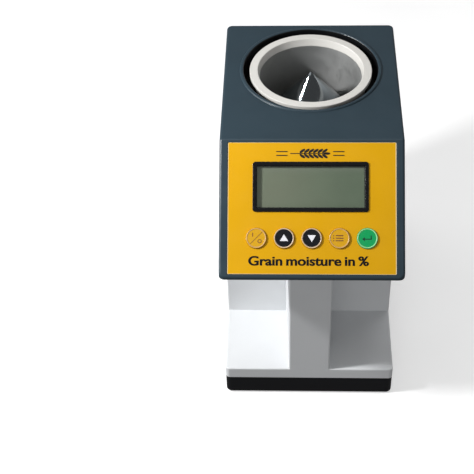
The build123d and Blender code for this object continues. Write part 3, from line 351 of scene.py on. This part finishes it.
def brushed_metal(name, colour, roughness, size=0.6, stretch=(1, 1, 0.05)):
    """Rolled or machined metal with straight brush lines, dull patches and a painted highlight along its edges."""
    g = Graph(name)
    lines = g.noise(size, detail=5.0, stretch=stretch)
    tone = g.mix(g.ramp(lines, 0.35, 0.7), shade(colour, 0.86), shade(colour, 1.08))
    edge, rounded = g.edges(0.3)
    # painted highlight: the metal's edges are coloured lighter
    tone = g.mix(g.math("MULTIPLY", edge, 0.5), tone, shade(colour, 1.4))
    rough = g.ramp(g.noise(8.0, detail=5.0), 0.3, 0.7, roughness - 0.06, roughness + 0.1)
    normal = g.bump(lines, 0.004, normal=rounded)
    return g.finish(Base_Color=tone, Metallic=1.0, Roughness=rough, Normal=normal)


def rubber(name, colour):
    """Soft rubber: very matt, dusty, slightly pitted."""
    g = Graph(name)
    dust = g.ramp(g.noise(2.2, detail=6.0, roughness=0.7), 0.45, 0.75, 0.0, 0.5)
    tone = g.mix(dust, colour, shade(colour, 2.6))
    return g.finish(Base_Color=tone, Roughness=0.85, Normal=g.bump(g.noise(0.4, detail=4.0), 0.03))


def circuit_board(name, colour):
    """Green solder mask with copper tracks showing through it."""
    g = Graph(name)
    tracks = g.add("ShaderNodeTexVoronoi", Scale=1 / (5.0 * MM), Vector=g.place)
    tracks.distance = "MANHATTAN"
    tracks.feature = "F1"
    lines = g.ramp(g.math("SINE", g.math("MULTIPLY", tracks.outputs["Distance"], 26.0)), 0.6, 0.8)
    tone = g.mix(g.math("MULTIPLY", lines, 0.55), colour, shade(colour, 2.2))
    tone = g.mix(g.ramp(g.noise(1.0), 0.62, 0.68, 0.0, 0.6), tone, rgb(196, 178, 120))
    return g.finish(Base_Color=tone, Roughness=0.32, Normal=g.bump(lines, 0.03), Coat_Weight=0.4)


def ink(name, colour):
    """Screen-printed ink: dense, slightly uneven at its edges and matt."""
    g = Graph(name)
    tone = g.mix(g.ramp(g.noise(0.4, detail=4.0), 0.45, 0.75, 0.0, 0.4), colour, shade(colour, 1.5))
    return g.finish(Base_Color=tone, Roughness=0.5, Normal=g.bump(g.noise(0.2), 0.004))


YELLOW = rgb(213, 159, 5)
DARK_HOUSING = rgb(44, 59, 68)
LIGHT_HOUSING = rgb(216, 218, 220)
BLACK = rgb(15, 15, 19)
RING = rgb(200, 176, 150)
GREEN = rgb(12, 158, 88)
# radius inside which the housing is coloured near-black as painted shade in the cell well
PAINTED_WELL_SHADE_RADIUS = 48.6

FINISHES = {
    "housing_dark": moulded_plastic(
        "housing_dark", DARK_HOUSING, 0.34, depth=0.006, specular=0.45, well=(CELL_AXIS, PAINTED_WELL_SHADE_RADIUS),
    ),
    "housing_light": moulded_plastic("housing_light", LIGHT_HOUSING, 0.5, wear=0.15, mottling=0.018),
    "tray_black": moulded_plastic("tray_black", BLACK, 0.42, wear=0.5, specular=0.3),
    "overlay_yellow": printed_film("overlay_yellow", YELLOW),
    "bezel_black": gloss_plastic("bezel_black", rgb(14, 14, 16)),
    "lens_clear": clear_lens("lens_clear"),
    "lcd_screen": liquid_crystal("lcd_screen"),
    "board_green": circuit_board("board_green", rgb(20, 92, 52)),
    "component_black": moulded_plastic("component_black", rgb(34, 34, 36), 0.4, grain=0.2),
    "collar_white": moulded_plastic(
        "collar_white", rgb(208, 206, 201), 0.36, grain=0.6, depth=0.006, wear=0.1, mottling=0.02,
    ),
    "cell_steel": turned_metal(
        "cell_steel", rgb(188, 189, 188), 0.6, "outer_electrode",
        anisotropy=0.3, pitch=0.8, depth=0.001, unevenness=0.03,
    ),
    "cone_steel": turned_metal(
        "cone_steel", rgb(128, 134, 138), 0.11, "inner_electrode",
        anisotropy=0.6, pitch=0.5, depth=0.0001, unevenness=0.008,
    ),
    "insulator": moulded_plastic("insulator", rgb(206, 204, 196), 0.45, wear=0.1),
    "carrier_aluminium": brushed_metal("carrier_aluminium", rgb(205, 208, 212), 0.38),
    "screw_steel": brushed_metal("screw_steel", rgb(190, 190, 192), 0.3, size=0.3, stretch=(1, 1, 1)),
    "foot_rubber": rubber("foot_rubber", rgb(26, 26, 28)),
    "battery_wrap": moulded_plastic("battery_wrap", rgb(38, 62, 120), 0.3, grain=0.8, depth=0.004),
    "contact_nickel": brushed_metal("contact_nickel", rgb(214, 210, 200), 0.22, size=0.4),
    "socket_black": moulded_plastic("socket_black", rgb(22, 22, 24), 0.28, wear=0.5),
}
INK_BLACK = ink("ink_black", rgb(14, 11, 12))
INK_RED = ink("ink_red", rgb(96, 44, 40))
INK_WHITE = ink("ink_white", rgb(226, 226, 232))
INK_DARK_GREEN = ink("ink_dark_green", rgb(10, 58, 44))

KEYS = {
    "key_power": (rgb(208, 158, 24), rgb(196, 156, 104), YELLOW),
    "key_up": (rgb(18, 18, 24), RING, YELLOW),
    "key_down": (rgb(18, 18, 24), RING, YELLOW),
    "key_select": (rgb(210, 158, 22), rgb(196, 156, 104), YELLOW),
    "key_enter": (GREEN, rgb(150, 214, 150), rgb(60, 178, 110)),
}


def dress_nodes():
    """Gives every CAD node the finish of its material slot, and each key its own."""
    for name, node in NODES.items():
        if name in KEYS:
            finish = ringed_key(name, *KEYS[name])
        else:
            finish = FINISHES[SLOTS[name]]
        node.data.materials.clear()
        node.data.materials.append(finish)


dress_nodes()

# ---------------------------------------------------------------- printed marks

INK_HEIGHT = 0.03 * MM


def add_piece(name, data, matrix, finish, body):
    """Places a new object, gives it a finish, and makes it ride on a body."""
    piece = bpy.data.objects.new(name, data)
    bpy.context.collection.objects.link(piece)
    piece.matrix_world = matrix
    data.materials.append(finish)
    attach(piece, body)
    return piece


def flat_shape(name, outlines):
    """Closed thin mesh from outlines of (x, y) points in millimetres, one plate each."""
    mesh = bpy.data.meshes.new(name)
    build = bmesh.new()
    for outline in outlines:
        lower = [build.verts.new((x * MM, y * MM, 0)) for x, y in outline]
        face = build.faces.new(lower)
        face.normal_update()
        if face.normal.z > 0:
            face.normal_flip()
        top = bmesh.ops.extrude_face_region(build, geom=[face])
        lifted = [item for item in top["geom"] if isinstance(item, bmesh.types.BMVert)]
        bmesh.ops.translate(build, verts=lifted, vec=(0, 0, INK_HEIGHT))
    bmesh.ops.recalc_face_normals(build, faces=build.faces)
    build.to_mesh(mesh)
    build.free()
    return mesh


def stroke(start, end, width):
    """Outline of a straight line of a given width."""
    start, end = Vector(start), Vector(end)
    side = (end - start).normalized().orthogonal() * width / 2
    return [tuple(start + side), tuple(end + side), tuple(end - side), tuple(start - side)]


def ellipse(centre, half_length, half_width, angle):
    """Outline of a tilted ellipse."""
    points = 28
    turn = Matrix.Rotation(math.radians(angle), 2)
    steps = [2 * math.pi * i / points for i in range(points)]
    rim = [turn @ Vector((half_length * math.cos(t), half_width * math.sin(t))) for t in steps]
    return [(centre[0] + p.x, centre[1] + p.y) for p in rim]


def ring(centre, outer, inner):
    """Outlines of a ring's segments, so that each stays a simple plate."""
    points = 24
    plates = []
    for i in range(points):
        a = 2 * math.pi * i / points
        b = 2 * math.pi * (i + 1) / points
        corners = ((outer, a), (outer, b), (inner, b), (inner, a))
        plates.append([(centre[0] + r * math.cos(t), centre[1] + r * math.sin(t)) for r, t in corners])
    return plates


def print_text(name, words, size, width, centre, finish, weight):
    """Generic wording in the built-in typeface, scaled to a width, as a thin raised print."""
    curve = bpy.data.curves.new(name, "FONT")
    curve.body = words
    curve.align_x, curve.align_y = "CENTER", "CENTER"
    curve.size = size * MM
    curve.offset = weight * MM
    curve.extrude = INK_HEIGHT / 2
    curve.space_word = 0.7
    place = on_face(centre, OVERLAY_LEVEL + INK_HEIGHT / 2)
    piece = add_piece(name, curve, place, finish, "meter_body")
    bpy.context.view_layer.update()
    piece.scale.x = width * MM / piece.dimensions.x


GRAIN_PAIRS = 6


def wheat_ear(length, height):
    """Outlines of an ear of wheat lying on its side: a stem, pairs of slanting grains and a top grain."""
    outlines = [stroke((-length / 2, 0), (length * 0.42, 0), height * 0.09)]
    grain = height * 0.34
    for row in range(GRAIN_PAIRS):
        x = -length * 0.2 + row * (length * 0.56 / (GRAIN_PAIRS - 1))
        for side in (1, -1):
            outlines.append(ellipse((x, side * height * 0.27), grain, grain * 0.4, side * 35))
    outlines.append(ellipse((length / 2 - grain, 0), grain, grain * 0.4, 0))
    return outlines


EMBLEM_WIDTH = 46.0
EMBLEM_HEIGHT = 6.6
EAR_LENGTH = 27.0
face_up_mm = FACE_UP * MM
emblem_place = FACE_MIDDLE + face_up_mm * 37.0 - FACE_ACROSS * MM
title_place = FACE_MIDDLE - face_up_mm * 35.9 - FACE_ACROSS * 2.4 * MM

emblem = wheat_ear(EAR_LENGTH, EMBLEM_HEIGHT)
for side in (1, -1):
    inner = side * (EAR_LENGTH / 2 + 1.8)
    for y in (1.3, -1.3):
        emblem.append(stroke((inner, y), (side * EMBLEM_WIDTH / 2, y), 0.7))
add_piece(
    "wheat_emblem", flat_shape("wheat_emblem", emblem), on_face(emblem_place, OVERLAY_LEVEL),
    INK_BLACK, "meter_body",
)
for name, shift in (("panel_wording", 0.0), ("panel_wording_bold", 0.3)):  # twice, to thicken its stems
    print_text(
        name, "Grain moisture in %", size=8.8, width=80.5, centre=title_place + FACE_ACROSS * shift * MM,
        finish=INK_BLACK, weight=0.19,
    )

KEY_DISH = 0.2 * MM


def key_mark(key, outlines, finish):
    """Printed mark on a key's face, riding with the key."""
    level = reach(key, FACE_NORMAL) - KEY_DISH
    mesh = flat_shape(f"{key}_mark", outlines)
    add_piece(f"{key}_mark", mesh, on_face(middle(key), level), finish, key)


triangle = [(-2.8, -2.0), (2.8, -2.0), (0, 2.6)]
key_mark("key_up", [triangle], INK_WHITE)
key_mark("key_down", [[(x, -y) for x, y in triangle]], INK_WHITE)
slash = stroke((-4.0, -4.0), (4.0, 4.0), 0.32)
on_bar = stroke((-2.4, 0.9), (-2.4, 3.5), 0.5)
off_ring = ring((2.3, -2.2), 1.35, 0.9)
key_mark("key_power", [slash, on_bar] + off_ring, INK_RED)
bars = [stroke((-2.6, y), (2.6, y), 0.6) for y in (1.7, 0.0, -1.7)]
dots = [ellipse((-3.9, y), 0.4, 0.4, 0) for y in (1.7, 0.0, -1.7)]
key_mark("key_select", bars + dots, INK_RED)
arrow = [stroke((-2.6, -0.6), (2.8, -0.6), 0.7), stroke((2.45, -0.6), (2.45, 1.9), 0.7)]
arrow.append([(-3.6, -0.6), (-1.8, 0.75), (-1.8, -1.95)])
key_mark("key_enter", arrow, INK_DARK_GREEN)

# ---------------------------------------------------------------- floor, light and camera

FLOOR_GLOW = 0.55


def make_floor():
    """Plain pale floor under the feet."""
    mesh = bpy.data.meshes.new("floor")
    half = 15.0
    corners = [(-half, -half, 0), (half, -half, 0), (half, half, 0), (-half, half, 0)]
    mesh.from_pydata(corners, [], [(0, 1, 2, 3)])
    floor = bpy.data.objects.new("floor", mesh)
    bpy.context.collection.objects.link(floor)
    g = Graph("floor")
    tone = g.mix(g.ramp(g.noise(120.0), 0.3, 0.7), rgb(226, 226, 226), rgb(230, 230, 230))
    finish = g.finish(Base_Color=tone, Roughness=0.6, Emission_Color=tone, Emission_Strength=FLOOR_GLOW)
    mesh.materials.append(finish)
    floor.visible_diffuse = False  # its bounce would flood the upright faces
    floor.visible_glossy = False


def add_light(name, kind, place, strength, softness, mirrored=True):
    """Globe light, or a far soft light that shines from its place towards the object."""
    lamp = bpy.data.lights.new(name, kind)
    lamp.energy = strength
    if kind == "SUN":
        lamp.angle = math.radians(softness)
    else:
        lamp.shadow_soft_size = softness
    light = bpy.data.objects.new(name, lamp)
    bpy.context.collection.objects.link(light)
    light.visible_glossy = mirrored
    light.location = place
    light.rotation_euler = (-Vector(place)).to_track_quat("-Z", "Y").to_euler()


make_floor()
add_light("key", "POINT", (-0.44, -0.15, 0.52), 15.8, 0.035)
add_light("side", "SUN", (-1.0, 0.0, 0.1), 1.1, 20)
add_light("overhead", "SUN", (-0.3, 0.1, 1.3), 0.5, 50)
add_light("fill", "SUN", (0.05, -0.8, 0.28), 0.62, 50, mirrored=False)
add_light("back", "SUN", (0.7, 1.1, 0.3), 1.3, 50, mirrored=False)

world = bpy.data.worlds.new("studio")
bpy.context.scene.world = world
world.use_nodes = True
world.node_tree.nodes["Background"].inputs["Color"].default_value = (1, 1, 1, 1)
world.node_tree.nodes["Background"].inputs["Strength"].default_value = 0.16
bpy.context.scene.view_settings.view_transform = "Standard"

lens = bpy.data.cameras.new("camera")
camera = bpy.data.objects.new("camera", lens)
bpy.context.collection.objects.link(camera)
lens.sensor_width = 36.0
lens.lens = 91.75
lens.dof.use_dof = False
pitch, yaw, roll = (math.radians(angle) for angle in (43.911, 3.462, -2.214))
camera.location = (-0.0148, -0.66641, 0.72475)
tilt = Matrix.Rotation(math.pi / 2 - pitch, 3, "X")
turn = Matrix.Rotation(yaw, 3, "Z") @ tilt @ Matrix.Rotation(roll, 3, "Z")
camera.rotation_euler = turn.to_euler()
bpy.context.scene.camera = camera
